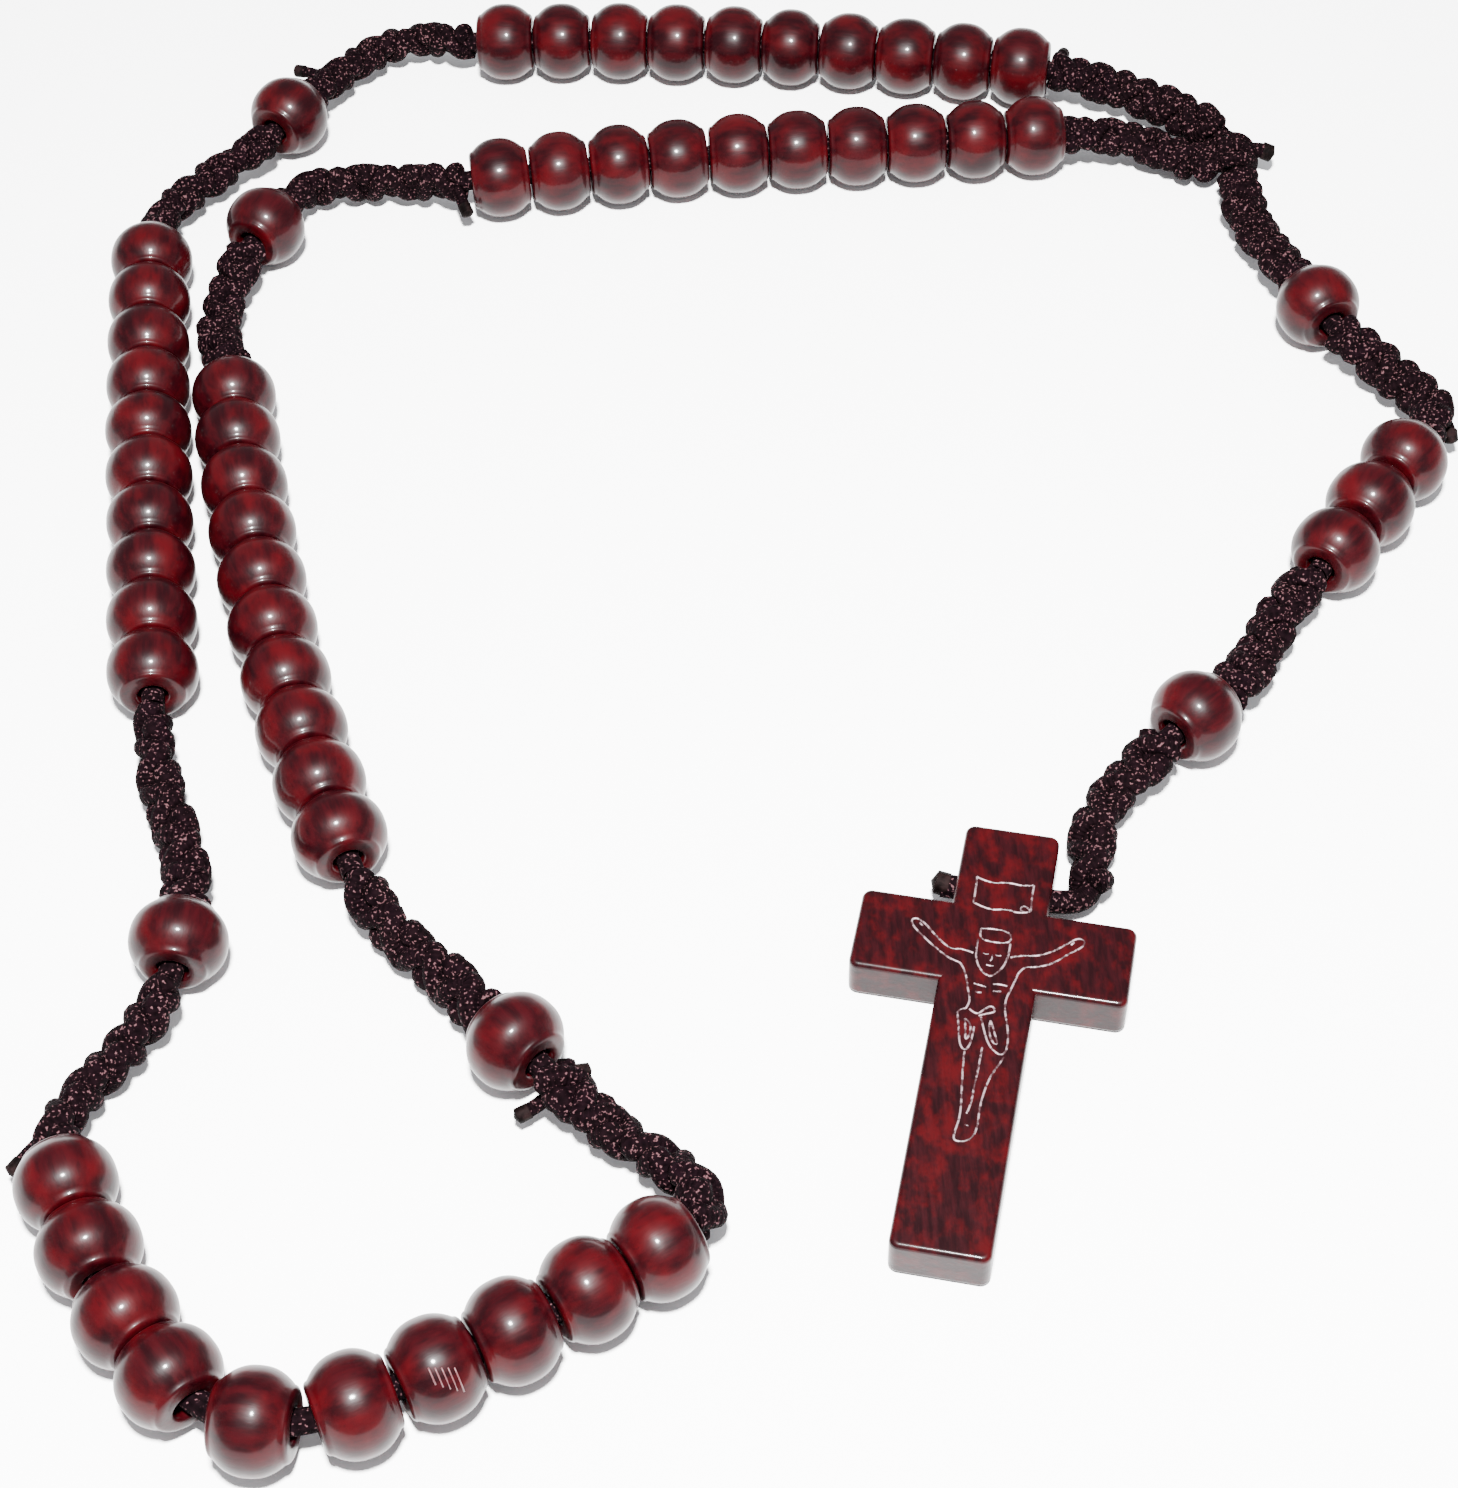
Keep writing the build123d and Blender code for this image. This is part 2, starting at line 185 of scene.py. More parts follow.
def lacquered_wood(name, dark, light, red, grain_scale, turned=None):
    """Dark red lacquer over wood whose grain runs along the piece's own third axis."""
    mat, graph, inputs = material(name)
    if turned is None:
        place = graph.node("ShaderNodeAttribute", output="Vector", attribute_name="grain_place")
    else:
        place = graph.node("ShaderNodeTexCoord", output="Object")
        place = graph.node(
            "ShaderNodeMapping", {"Vector": place, "Rotation": turned, "Scale": (1000, 1000, 1000)}
        )
    grain = noise(graph, stretched(graph, place, (1, 1, 0.16)), grain_scale, 4.0, 0.6)
    blotch = noise(graph, stretched(graph, place, (1, 1, 0.7), (3, 7, 1)), grain_scale * 0.33, 3.0)
    fleck = noise(graph, stretched(graph, place, (1, 1, 0.3), (9, 2, 4)), grain_scale * 3.2, 2.0)
    colour = grain.smooth(0.36, 0.66).mix(dark, light)
    colour = (blotch.smooth(0.42, 0.72) * 0.75).mix(colour, red)
    colour = (fleck.smooth(0.56, 0.74) * 0.35).mix(colour, dark)
    put(inputs["Base Color"], colour)
    put(inputs["Roughness"], 0.3 + grain * 0.2)
    inputs["Specular IOR Level"].default_value = 0.05
    inputs["Coat Weight"].default_value = 0.1
    inputs["Coat Roughness"].default_value = 0.11
    inputs["Coat IOR"].default_value = 1.5
    height = grain * 0.5 + fleck * 0.25 + blotch
    bump = graph.node(
        "ShaderNodeBump", {"Height": height, "Distance": 0.00006, "Strength": 0.5}
    )
    put(inputs["Normal"], bump)
    return mat


def braided(name, dark, light, across, along):
    """Braided nylon: fine plaited strands with painted shade in the grooves between them, and small
    painted glints where the strands are also a little less rough.
    """
    mat, graph, inputs = material(name)
    run = graph.node("ShaderNodeUVMap", output="UV")
    parts = graph.node("ShaderNodeSeparateXYZ", {"Vector": run})
    u = Wire(graph.tree, parts.socket.node.outputs["X"])
    v = Wire(graph.tree, parts.socket.node.outputs["Y"])
    one = (u * along + v * across).sine()
    two = (u * along - v * across).sine()
    plait = (one * two) * 0.5 + 0.5
    place = graph.node("ShaderNodeTexCoord", output="Object")
    fibre = noise(graph, place, 2600.0, 3.0)
    patch = noise(graph, place, 420.0, 2.0)
    # Painted shade: the colour darkens where the plait is low, in the grooves between strands; the
    # fibre noise adds real tone.
    groove_shade_and_fibre_tone = (plait * 0.6 + fibre * 0.55 - 0.1).clamp(0.0, 1.0)
    colour = groove_shade_and_fibre_tone.mix(dark, light)
    colour = (patch.smooth(0.5, 0.75) * 0.35).mix(colour, (0.003, 0.0009, 0.0018))
    # Painted glint: specks of pale colour stand in for highlights on the strands; the same specks are
    # also less rough.
    painted_glint = noise(graph, place, 3600.0, 1.0).smooth(0.6, 0.7)
    colour = (painted_glint * 0.65).mix(colour, (0.075, 0.034, 0.038))
    put(inputs["Base Color"], colour)
    put(inputs["Roughness"], 0.85 - painted_glint * 0.3)
    inputs["Specular IOR Level"].default_value = 0.01
    bump = graph.node(
        "ShaderNodeBump",
        {"Height": plait + fibre * 0.5, "Distance": 0.00014, "Strength": 0.9},
    )
    put(inputs["Normal"], bump)
    return mat


BEAD = lacquered_wood(
    "bead lacquer",
    (0.004, 0.0001, 0.0005),
    (0.011, 0.0003, 0.0009),
    (0.024, 0.0004, 0.0010),
    1.0,
)
CROSS = lacquered_wood(
    "cross lacquer",
    (0.003, 0.0001, 0.0004),
    (0.007, 0.0002, 0.0007),
    (0.022, 0.0003, 0.0007),
    2.2,
    (math.radians(90), 0, math.radians(-13.1)),
)
CORD_DARK = (0.0004, 0.0002, 0.0003)
CORD_LIGHT = (0.0032, 0.0012, 0.0018)
KNOT = braided("knotted cord", CORD_DARK, CORD_LIGHT, 2 * math.pi * 3, 9.0)
CORE = braided("core cord", CORD_DARK, CORD_LIGHT, 2 * math.pi * 4, 700.0)


def melted():
    mat, graph, inputs = material("melted cord end")
    place = graph.node("ShaderNodeTexCoord", output="Object")
    lump = noise(graph, place, 900.0, 3.0)
    colour = lump.smooth(0.4, 0.7).mix((0.0008, 0.0004, 0.0004), (0.006, 0.003, 0.003))
    put(inputs["Base Color"], colour)
    put(inputs["Roughness"], 0.45 + lump * 0.4)
    inputs["Specular IOR Level"].default_value = 0.02
    put(inputs["Normal"], graph.node("ShaderNodeBump", {"Height": lump, "Distance": 0.0002}))
    return mat


MELTED = melted()


def engraved():
    mat, graph, inputs = material("silvery engraving")
    place = graph.node("ShaderNodeTexCoord", output="Object")
    worn = noise(graph, place, 1500.0, 3.0)
    put(inputs["Base Color"], worn.smooth(0.44, 0.58).mix((0.012, 0.001, 0.002), (0.2, 0.14, 0.15)))
    put(inputs["Roughness"], 0.3 + worn * 0.3)
    put(inputs["Metallic"], worn.smooth(0.4, 0.6) * 0.6)
    put(inputs["Normal"], graph.node("ShaderNodeBump", {"Height": worn, "Distance": 0.0001}))
    return mat


ENGRAVED = engraved()


def scratched():
    mat, _, inputs = material("scratched lacquer")
    inputs["Base Color"].default_value = (0.05, 0.01, 0.012, 1)
    return mat


SCRATCHED = scratched()


# ---- mesh helpers --------------------------------------------------------------------------------
def plain(words):
    return words.replace(",", "").replace(" ", "_")


def mesh_object(name, points, faces, mat, uvs=None, grain=None, smooth=True):
    name = plain(name)
    mesh = bpy.data.meshes.new(name)
    mesh.from_pydata(points, [], faces)
    if uvs:
        layer = mesh.uv_layers.new(name="run")
        for loop in mesh.loops:
            layer.data[loop.index].uv = uvs[loop.vertex_index]
    if grain:
        attribute = mesh.attributes.new("grain_place", "FLOAT_VECTOR", "POINT")
        for item, value in zip(attribute.data, grain):
            item.vector = value
    if smooth:
        mesh.shade_smooth()
    mesh.materials.append(mat)
    mesh.validate()
    obj = bpy.data.objects.new(name, mesh)
    bpy.context.scene.collection.objects.link(obj)
    return obj


def tube_parts(line, radius, sides, points, faces, uvs):
    """Adds a closed round tube along a line of points. radius is one number or one per point."""
    count = len(line)
    radii = radius if isinstance(radius, list) else [radius] * count
    normal = None
    base = len(points)
    run = 0.0
    for i, here in enumerate(line):
        ahead = (line[min(i + 1, count - 1)] - line[max(i - 1, 0)]).normalized()
        if normal is None:
            normal = ahead.orthogonal().normalized()
        normal = (normal - ahead * normal.dot(ahead)).normalized()
        side = ahead.cross(normal)
        if i:
            run += (here - line[i - 1]).length
        for k in range(sides):
            angle = 2 * math.pi * k / sides
            points.append(here + (normal * math.cos(angle) + side * math.sin(angle)) * radii[i])
            uvs.append((run / MM, min(k / sides, 1 - k / sides)))
    for i in range(count - 1):
        for k in range(sides):
            a = base + i * sides + k
            b = base + i * sides + (k + 1) % sides
            faces.append((a, b, b + sides, a + sides))
    for i, direction in ((0, -1), (count - 1, 1)):
        near = line[1] if i == 0 else line[count - 2]
        points.append(line[i] + (line[i] - near).normalized() * radii[i] * 0.45)
        uvs.append((0, 0))
        tip = len(points) - 1
        for k in range(sides):
            a = base + i * sides + k
            b = base + i * sides + (k + 1) % sides
            faces.append((a, b, tip) if direction > 0 else (b, a, tip))


# ---- the cord's routes ---------------------------------------------------------------------------
back = [
    (-0.0300, 0.0792, 0.0040),
    (-0.0171, 0.0789, 0.0040),
    (-0.0046, 0.0776, 0.0040),
    (0.0079, 0.0759, 0.0040),
    (0.0200, 0.0734, 0.0040),
    (0.0319, 0.0709, 0.0040),
    (0.0370, 0.0693, 0.0032),
    (0.0416, 0.0666, 0.0029),
    (0.0456, 0.0631, 0.0030),
    (0.0484, 0.0598, 0.0032),
]
middle = [
    (-0.0300, 0.0558, 0.0040),
    (-0.0173, 0.0574, 0.0040),
    (-0.0051, 0.0587, 0.0040),
    (0.0073, 0.0592, 0.0040),
    (0.0199, 0.0595, 0.0040),
    (0.0325, 0.0601, 0.0040),
    (0.0376, 0.0605, 0.0031),
    (0.0420, 0.0588, 0.0025),
    (0.0454, 0.0563, 0.0023),
]
outer_corner = [
    (-0.0300, 0.0792, 0.0040),
    (-0.0334, 0.0810, 0.0033),
    (-0.0374, 0.0816, 0.0028),
    (-0.0412, 0.0795, 0.0027),
    (-0.0444, 0.0758, 0.0028),
    (-0.0470, 0.0714, 0.0037),
    (-0.0510, 0.0636, 0.0040),
    (-0.0545, 0.0614, 0.0030),
    (-0.0580, 0.0578, 0.0027),
    (-0.0609, 0.0536, 0.0031),
    (-0.0613, 0.0487, 0.0040),
]
inner_corner = [
    (-0.0300, 0.0558, 0.0040),
    (-0.0338, 0.0570, 0.0031),
    (-0.0383, 0.0578, 0.0027),
    (-0.0430, 0.0579, 0.0027),
    (-0.0469, 0.0565, 0.0031),
    (-0.0486, 0.0530, 0.0039),
    (-0.0516, 0.0464, 0.0040),
    (-0.0530, 0.0420, 0.0031),
    (-0.0538, 0.0374, 0.0027),
    (-0.0534, 0.0329, 0.0031),
    (-0.0516, 0.0286, 0.0040),
]
outer_side = [
    (-0.0613, 0.0487, 0.0040),
    (-0.0605, 0.0362, 0.0040),
    (-0.0592, 0.0239, 0.0040),
    (-0.0578, 0.0119, 0.0040),
    (-0.0563, -0.0006, 0.0040),
    (-0.0548, -0.0139, 0.0040),
]
inner_side = [
    (-0.0516, 0.0286, 0.0040),
    (-0.0499, 0.0161, 0.0040),
    (-0.0472, 0.0035, 0.0040),
    (-0.0443, -0.0089, 0.0040),
    (-0.0406, -0.0209, 0.0040),
    (-0.0362, -0.0330, 0.0040),
]
outer_lower = [
    (-0.0548, -0.0139, 0.0040),
    (-0.0545, -0.0176, 0.0032),
    (-0.0536, -0.0219, 0.0027),
    (-0.0518, -0.0263, 0.0026),
    (-0.0504, -0.0310, 0.0030),
    (-0.0498, -0.0356, 0.0039),
    (-0.0504, -0.0426, 0.0040),
]
inner_lower = [
    (-0.0362, -0.0330, 0.0040),
    (-0.0345, -0.0360, 0.0032),
    (-0.0316, -0.0394, 0.0027),
    (-0.0282, -0.0427, 0.0027),
    (-0.0253, -0.0469, 0.0038),
    (-0.0202, -0.0525, 0.0040),
]
front = [
    (-0.0504, -0.0426, 0.0040),
    (-0.0519, -0.0460, 0.0032),
    (-0.0544, -0.0496, 0.0027),
    (-0.0572, -0.0534, 0.0028),
    (-0.0582, -0.0574, 0.0039),
    (-0.0549, -0.0654, 0.0040),
    (-0.0524, -0.0709, 0.0040),
    (-0.0446, -0.0809, 0.0040),
    (-0.0378, -0.0821, 0.0040),
    (-0.0316, -0.0798, 0.0040),
    (-0.0205, -0.0742, 0.0040),
    (-0.0150, -0.0709, 0.0040),
    (-0.0077, -0.0663, 0.0040),
    (-0.0086, -0.0632, 0.0035),
    (-0.0114, -0.0604, 0.0029),
    (-0.0140, -0.0584, 0.0027),
    (-0.0169, -0.0559, 0.0029),
    (-0.0202, -0.0525, 0.0040),
]
pendant_1 = [
    (0.0492, 0.0542, 0.0028),
    (0.0490, 0.0502, 0.0026),
    (0.0495, 0.0456, 0.0027),
    (0.0509, 0.0409, 0.0033),
    (0.0526, 0.0356, 0.0040),
    (0.0549, 0.0290, 0.0040),
]
pendant_2 = [
    (0.0549, 0.0290, 0.0040),
    (0.0577, 0.0264, 0.0031),
    (0.0600, 0.0227, 0.0027),
    (0.0622, 0.0199, 0.0030),
    (0.0623, 0.0167, 0.0035),
    (0.0603, 0.0136, 0.0040),
    (0.0564, 0.0084, 0.0040),
    (0.0522, 0.0027, 0.0040),
    (0.0479, -0.0031, 0.0040),
]
pendant_3 = [
    (0.0479, -0.0031, 0.0040),
    (0.0453, -0.0050, 0.0032),
    (0.0431, -0.0087, 0.0027),
    (0.0409, -0.0126, 0.0029),
    (0.0382, -0.0163, 0.0039),
    (0.0323, -0.0214, 0.0040),
]
pendant_4 = [
    (0.0323, -0.0214, 0.0040),
    (0.0293, -0.0242, 0.0031),
    (0.0264, -0.0270, 0.0026),
    (0.0249, -0.0300, 0.0024),
    (0.0248, -0.0329, 0.0022),
    (0.0240, -0.0374, 0.0020),
    (0.0172, -0.0357, 0.0020),
    (0.0121, -0.0346, 0.0020),
]


def spline_object(name, points, radius):
    data = bpy.data.curves.new(name, "CURVE")
    data.dimensions = "3D"
    data.resolution_u = 12
    data.bevel_depth = radius
    data.bevel_resolution = 5
    spline = data.splines.new("NURBS")
    spline.points.add(len(points) - 1)
    for item, point in zip(spline.points, points):
        item.co = (*point, 1)
    spline.order_u = 3
    spline.use_endpoint_u = True
    obj = bpy.data.objects.new(name, data)
    bpy.context.scene.collection.objects.link(obj)
    return obj


def read_line(points):
    """The points that a route's spline passes through, read from a copy with no thickness."""
    obj = spline_object("reading", points, 0)
    mesh = bpy.data.meshes.new_from_object(obj)
    line = [v.co.copy() for v in mesh.vertices]
    bpy.data.objects.remove(obj)
    bpy.data.meshes.remove(mesh)
    return line


def cord(name, points, bodies, nodes, fold=None):
    """The core cord of one or two stretches. Given a fold point, it is made a plain mesh and put on
    no body; without one, it goes on the first body.
    """
    name = plain(name)
    obj = spline_object(name, points, CORD_DIAMETER / 2)
    obj.data.materials.append(CORE)
    followed = None
    if fold:
        mesh = bpy.data.meshes.new_from_object(obj)
        bpy.data.objects.remove(obj)
        obj = bpy.data.objects.new(name, mesh)
        bpy.context.scene.collection.objects.link(obj)
        followed = read_line(points)
    if fold:
        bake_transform(obj)
    else:
        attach(obj, bodies[0])
    if nodes:
        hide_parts(*nodes)
    return obj


cord("core cord, back", back[::-1] + outer_corner[1:], ("rows", "corner"),
     ("loop_cord_rows", "loop_cord_corner"), (-0.03, 0.0792, 0.004))
cord("core cord, middle", middle[::-1] + inner_corner[1:], ("rows", "corner"),
     (), (-0.03, 0.0558, 0.004))
cord("core cord, outer side", outer_side, ("sides",), ("loop_cord_sides",))
cord("core cord, inner side", inner_side, ("sides",), ())
cord("core cord, front", outer_lower + front[1:] + inner_lower[::-1][1:], ("lower", "front"),
     ("loop_cord_lower", "loop_cord_front"), (-0.0353, -0.04755, 0.004))
cord("core cord, pendant upper", pendant_1 + pendant_2[1:], ("strand_1", "strand_2"),
     ("pendant_cord_1", "pendant_cord_2"), (0.0549, 0.029, 0.004))
cord("core cord, pendant lower", pendant_3 + pendant_4[1:], ("strand_3", "strand_4"),
     ("pendant_cord_3", "pendant_cord_4"), (0.0323, -0.0214, 0.004))


# ---- beads ---------------------------------------------------------------------------------------
def bead_profile(radius, half, face, edge, bore, dent):
    """(radius, height) from the bore's lower rim round the outside to its upper rim."""
    rows = []
    rim = []
    for k in range(4):
        a = math.radians(30 * k)
        rim.append((bore + dent * (1 - math.cos(a)), half - dent * (1 - math.sin(a))))
    rows += [(r, -h) for r, h in rim]
    barrel = []
    for k in range(25):
        t = -1 + 2 * k / 24
        height = t * (half - edge * 0.55)
        barrel.append((radius - (radius - face) * abs(t) ** 2.4, height))
    corner = []
    for k in range(5):
        a = math.radians(90 * (1 - k / 5))
        out = face - edge * 0.75 + edge * 0.75 * math.cos(a)
        corner.append((out, half - edge * 0.55 * (1 - math.sin(a))))
    rows += [(r, -h) for r, h in corner] + barrel + corner[::-1]
    return rows + rim[::-1]


def make_bead(name, centre, axis, body, seed):
    """A turned bead, a little different from the rest, with its grain along the bore."""
    chance = random.Random(seed)
    profile = bead_profile(
        BEAD_RADIUS * (1 + chance.uniform(-0.012, 0.008)),
        BEAD_HALF * (1 + chance.uniform(-0.02, 0.0)),
        BEAD_FACE * (1 + chance.uniform(-0.03, 0.03)),
        0.7,
        BORE_RADIUS,
        0.3,
    )
    ring = profile + [(BORE_RADIUS, h) for h in (2.2, 0.8, -0.8, -2.2)]
    sides = 56
    full = 6.28
    lumps = []
    for _ in range(5):
        lumps.append((chance.uniform(0, full), chance.uniform(-2, 2), chance.uniform(-0.03, 0.03)))
    shift = Vector((chance.uniform(0, 60), chance.uniform(0, 60), chance.uniform(0, 60)))
    turn = Vector(axis).to_track_quat("Z", "Y").to_matrix().to_4x4()
    turn = Matrix.Translation(centre) @ turn @ Matrix.Rotation(chance.uniform(0, full), 4, "Z")
    points, grain, faces = [], [], []
    for r, h in ring:
        for k in range(sides):
            angle = 2 * math.pi * k / sides
            reach = r
            if r > BEAD_RADIUS / 2:
                for at, level, size in lumps:
                    away = (math.cos(angle - at) - 1) ** 2 * 3 + (h - level) ** 2 * 0.3
                    reach += size * math.exp(-away)
            local = Vector((reach * math.cos(angle), reach * math.sin(angle), h))
            points.append(turn @ (local * MM))
            grain.append(local + shift)
    rows = len(ring)
    for i in range(rows):
        here, above = i * sides, (i + 1) % rows * sides
        for k in range(sides):
            ahead = (k + 1) % sides
            faces.append((here + k, here + ahead, above + ahead, above + k))
    obj = mesh_object(name, points, faces, BEAD, grain=grain)
    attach(obj, body)
    return obj


def make_beads():
    seed = 100
    for name, joint in sorted(joints.items()):
        if not name.startswith("spin_"):
            continue
        node = name[5:]
        pair = "beads" in node
        centre = Vector(joint["pos_m"])
        axis = Vector(joint["axis"]).normalized()
        offsets = (-PAIR_OFFSET, PAIR_OFFSET) if pair else (0,)
        for number, offset in enumerate(offsets):
            seed += 1
            title = node.replace("_", " ") + (f", bead {number + 1}" if pair else "")
            place = centre + axis * offset * MM
            make_bead(title, place, axis, joint["child"], seed)
        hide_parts(node)


make_beads()


def scratches(name, node, number, body):
    """Pale scratches through the lacquer, on the upper front of one bead."""
    joint = joints["spin_" + node]
    axis = Vector(joint["axis"]).normalized()
    centre = Vector(joint["pos_m"]) + axis * number * PAIR_OFFSET * MM
    reach = 3.93
    width = 0.07
    points, faces, uvs = [], [], []
    for row in range(5):
        line = []
        aside = -0.9 + 0.42 * row
        for k in range(4):
            lean = Vector((-0.30 + 0.12 * row + 0.05 * k, -0.72, 0.55 + 0.26 * k - 0.05 * row))
            out = (lean - axis * lean.dot(axis)).normalized()
            line.append(centre + (out * (reach - 0.05 * aside**2) + axis * aside) * MM)
        tube_parts(line, width * MM, 6, points, faces, uvs)
    obj = mesh_object(name, points, faces, SCRATCHED, uvs=uvs)
    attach(obj, body)


scratches("scratches on a front bead", "decade_3_beads_07_08", -1, "decade_3_beads_07_08")


# ---- knotted spacers -----------------------------------------------------------------------------
def stations(line):
    """Distances along a line of points."""
    out = [0.0]
    for a, b in zip(line, line[1:]):
        out.append(out[-1] + (b - a).length)
    return out


def at_distance(line, run, s):
    s = min(max(s, 0.0), run[-1])
    for i in range(len(run) - 1):
        if s <= run[i + 1] or i == len(run) - 2:
            return line[i].lerp(line[i + 1], (s - run[i]) / max(run[i + 1] - run[i], 1e-9))


def smooth_at(line, run, s):
    """A point and an evened-out direction a little either side of it."""
    reach = 0.0008
    before = at_distance(line, run, s - reach)
    after = at_distance(line, run, s + reach)
    return at_distance(line, run, s), (after - before).normalized()


def nearest(line, point):
    return min(range(len(line)), key=lambda i: (line[i] - point).length)


def face_at(line, run, node, side):
    """The distance along a line at which a bead or pair of beads ends, before or after it."""
    joint = joints["spin_" + node]
    half = PAIR_OFFSET + BEAD_HALF if "beads" in node else BEAD_HALF
    return run[nearest(line, Vector(joint["pos_m"]) + Vector(joint["axis"]) * side * half * MM)]


def spacer(number, route, body, rolls, before=None, after=None, tail=0.0):
    """A row of knots between two beads, or between a bead and an end of its stretch.

    One cord crosses over the core from side to side, half a turn for each knot. The other
    crosses beneath it. Both swell at the edges, which gives the bumps.
    """
    line = read_line(route)
    run = stations(line)
    start = face_at(line, run, before, 1) if before else 0.0
    end = face_at(line, run, after, -1) if after else run[-1] - tail
    inset = 0.0004
    length = end - start - 2 * inset
    knots = max(round(length / KNOT_PITCH), 2)
    steps = 12
    tracks = [[], []]
    total = knots * steps
    for i in range(total + 1):
        turn = math.pi * i / steps
        s = start + inset + length * i / total
        here, along = smooth_at(line, run, s)
        across = Vector((0, 0, 1)).cross(along).normalized()
        up = along.cross(across)
        roll = math.radians(rolls[0] + (rolls[1] - rolls[0]) * i / total)
        wide = across * math.cos(roll) + up * math.sin(roll)
        thick = up * math.cos(roll) - across * math.sin(roll)
        swing = math.cos(turn)
        edge = abs(swing) ** 2
        uneven = 1 + 0.06 * math.sin(turn * 0.37 + number) + 0.04 * math.sin(turn * 0.81 + 2 * number)
        over = wide * swing * 1.12 + thick * (0.95 * (1 - edge) + 0.2 * edge)
        tracks[0].append(here + over * MM * uneven)
        under = -math.tanh(1.7 * swing) / math.tanh(1.7) * 1.2
        beneath = wide * under + thick * (-0.9 * (1 - edge) + 0.1 * edge)
        tracks[1].append(here + beneath * MM * uneven)
    points, faces, uvs = [], [], []
    for track in tracks:
        radii = []
        for i in range(len(track)):
            bulge = math.cos(math.pi * i / steps) ** 2
            thin = STRAND_RADIUS * (0.88 + 0.24 * bulge)
            radii.append(thin * (1 + 0.04 * math.sin(i * 0.9 + number)))
        radii[0] = radii[-1] = STRAND_RADIUS * 0.8
        tube_parts(track, radii, 12, points, faces, uvs)
    obj = mesh_object(f"knotted spacer {number}", points, faces, KNOT, uvs=uvs)
    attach(obj, body)
    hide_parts(f"knotted_spacer_{number:02d}")
    return obj


spacer(1, back, "rows", (0, 65), before="decade_1_beads_09_10")
spacer(10, middle, "rows", (0, 0), before="decade_5_beads_09_10")
spacer(2, outer_corner, "corner", (70, 10), after="single_bead_1")
spacer(3, outer_corner, "corner", (14, 40), before="single_bead_1")
spacer(9, inner_corner, "corner", (80, 60), after="single_bead_4")
spacer(8, inner_corner, "corner", (0, 25), before="single_bead_4")
spacer(4, outer_lower, "lower", (75, 15), after="single_bead_2")
spacer(7, inner_lower, "lower", (65, 50), after="single_bead_3")
spacer(5, front, "front", (55, 70), after="decade_3_beads_01_02")
spacer(6, front, "front", (85, 10), before="decade_3_beads_09_10")
spacer(11, pendant_1, "strand_1", (0, 0), after="single_bead_5")
spacer(12, pendant_2, "strand_2", (0, 50), after="trio_bead_1")
spacer(13, pendant_3, "strand_3", (20, 0), after="single_bead_6")
spacer(14, pendant_4, "strand_4", (0, 70), tail=0.0124)


# ---- junction knot and cut ends ------------------------------------------------------------------
def strands(name, lines, radius, mat, body, node=None):
    points, faces, uvs = [], [], []
    for line in lines:
        track = read_line([tuple(c * MM for c in p) for p in line])
        tube_parts(track, radius, 12, points, faces, uvs)
    obj = mesh_object(name, points, faces, mat, uvs=uvs)
    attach(obj, body)
    if node:
        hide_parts(node)
    return obj


strands(
    "junction knot",
    [
        [
            (47.4, 58.9, 2.6), (49.4, 58.7, 4.2), (51.2, 57.4, 2.9), (49.6, 56.0, 1.3),
            (47.4, 56.4, 2.6), (48.3, 58.0, 4.4),
        ],
        [
            (47.2, 57.5, 1.6), (47.5, 55.6, 3.4), (49.6, 55.0, 4.2), (51.1, 56.0, 2.6),
            (49.7, 57.6, 1.2), (47.5, 57.6, 2.9),
        ],
        [
            (46.9, 56.5, 2.4), (48.4, 57.4, 4.3), (50.6, 57.2, 3.6), (51.0, 55.6, 2.0),
            (49.2, 54.6, 1.6),
        ],
        [(47.8, 60.1, 3.3), (49.6, 58.9, 3.4), (50.2, 57.2, 2.6), (49.3, 54.9, 2.7)],
        [
            (44.6, 57.9, 2.6), (46.0, 57.9, 3.6), (47.3, 56.2, 2.2), (45.8, 55.0, 1.6),
            (45.2, 56.6, 3.2), (47.0, 57.4, 3.3),
        ],
        [
            (45.4, 55.4, 2.9), (46.9, 55.2, 3.2), (48.4, 56.6, 2.0), (47.2, 58.2, 1.8),
            (46.4, 56.6, 3.4), (48.0, 55.6, 3.0),
        ],
    ],
    0.0008,
    KNOT,
    "rows",
    "junction_knot",
)


def cut_end(name, points, body, width):
    """A short cut end of cord with a melted tip."""
    strands(name, [points], width, KNOT, body)
    tip = Vector(points[-1])
    back_by = (Vector(points[-2]) - tip).normalized()
    strands(
        name + ", melted tip",
        [[tuple(tip + back_by * 0.7), tuple(tip), tuple(tip - back_by * 0.35)]],
        width * 1.12,
        MELTED,
        body,
    )


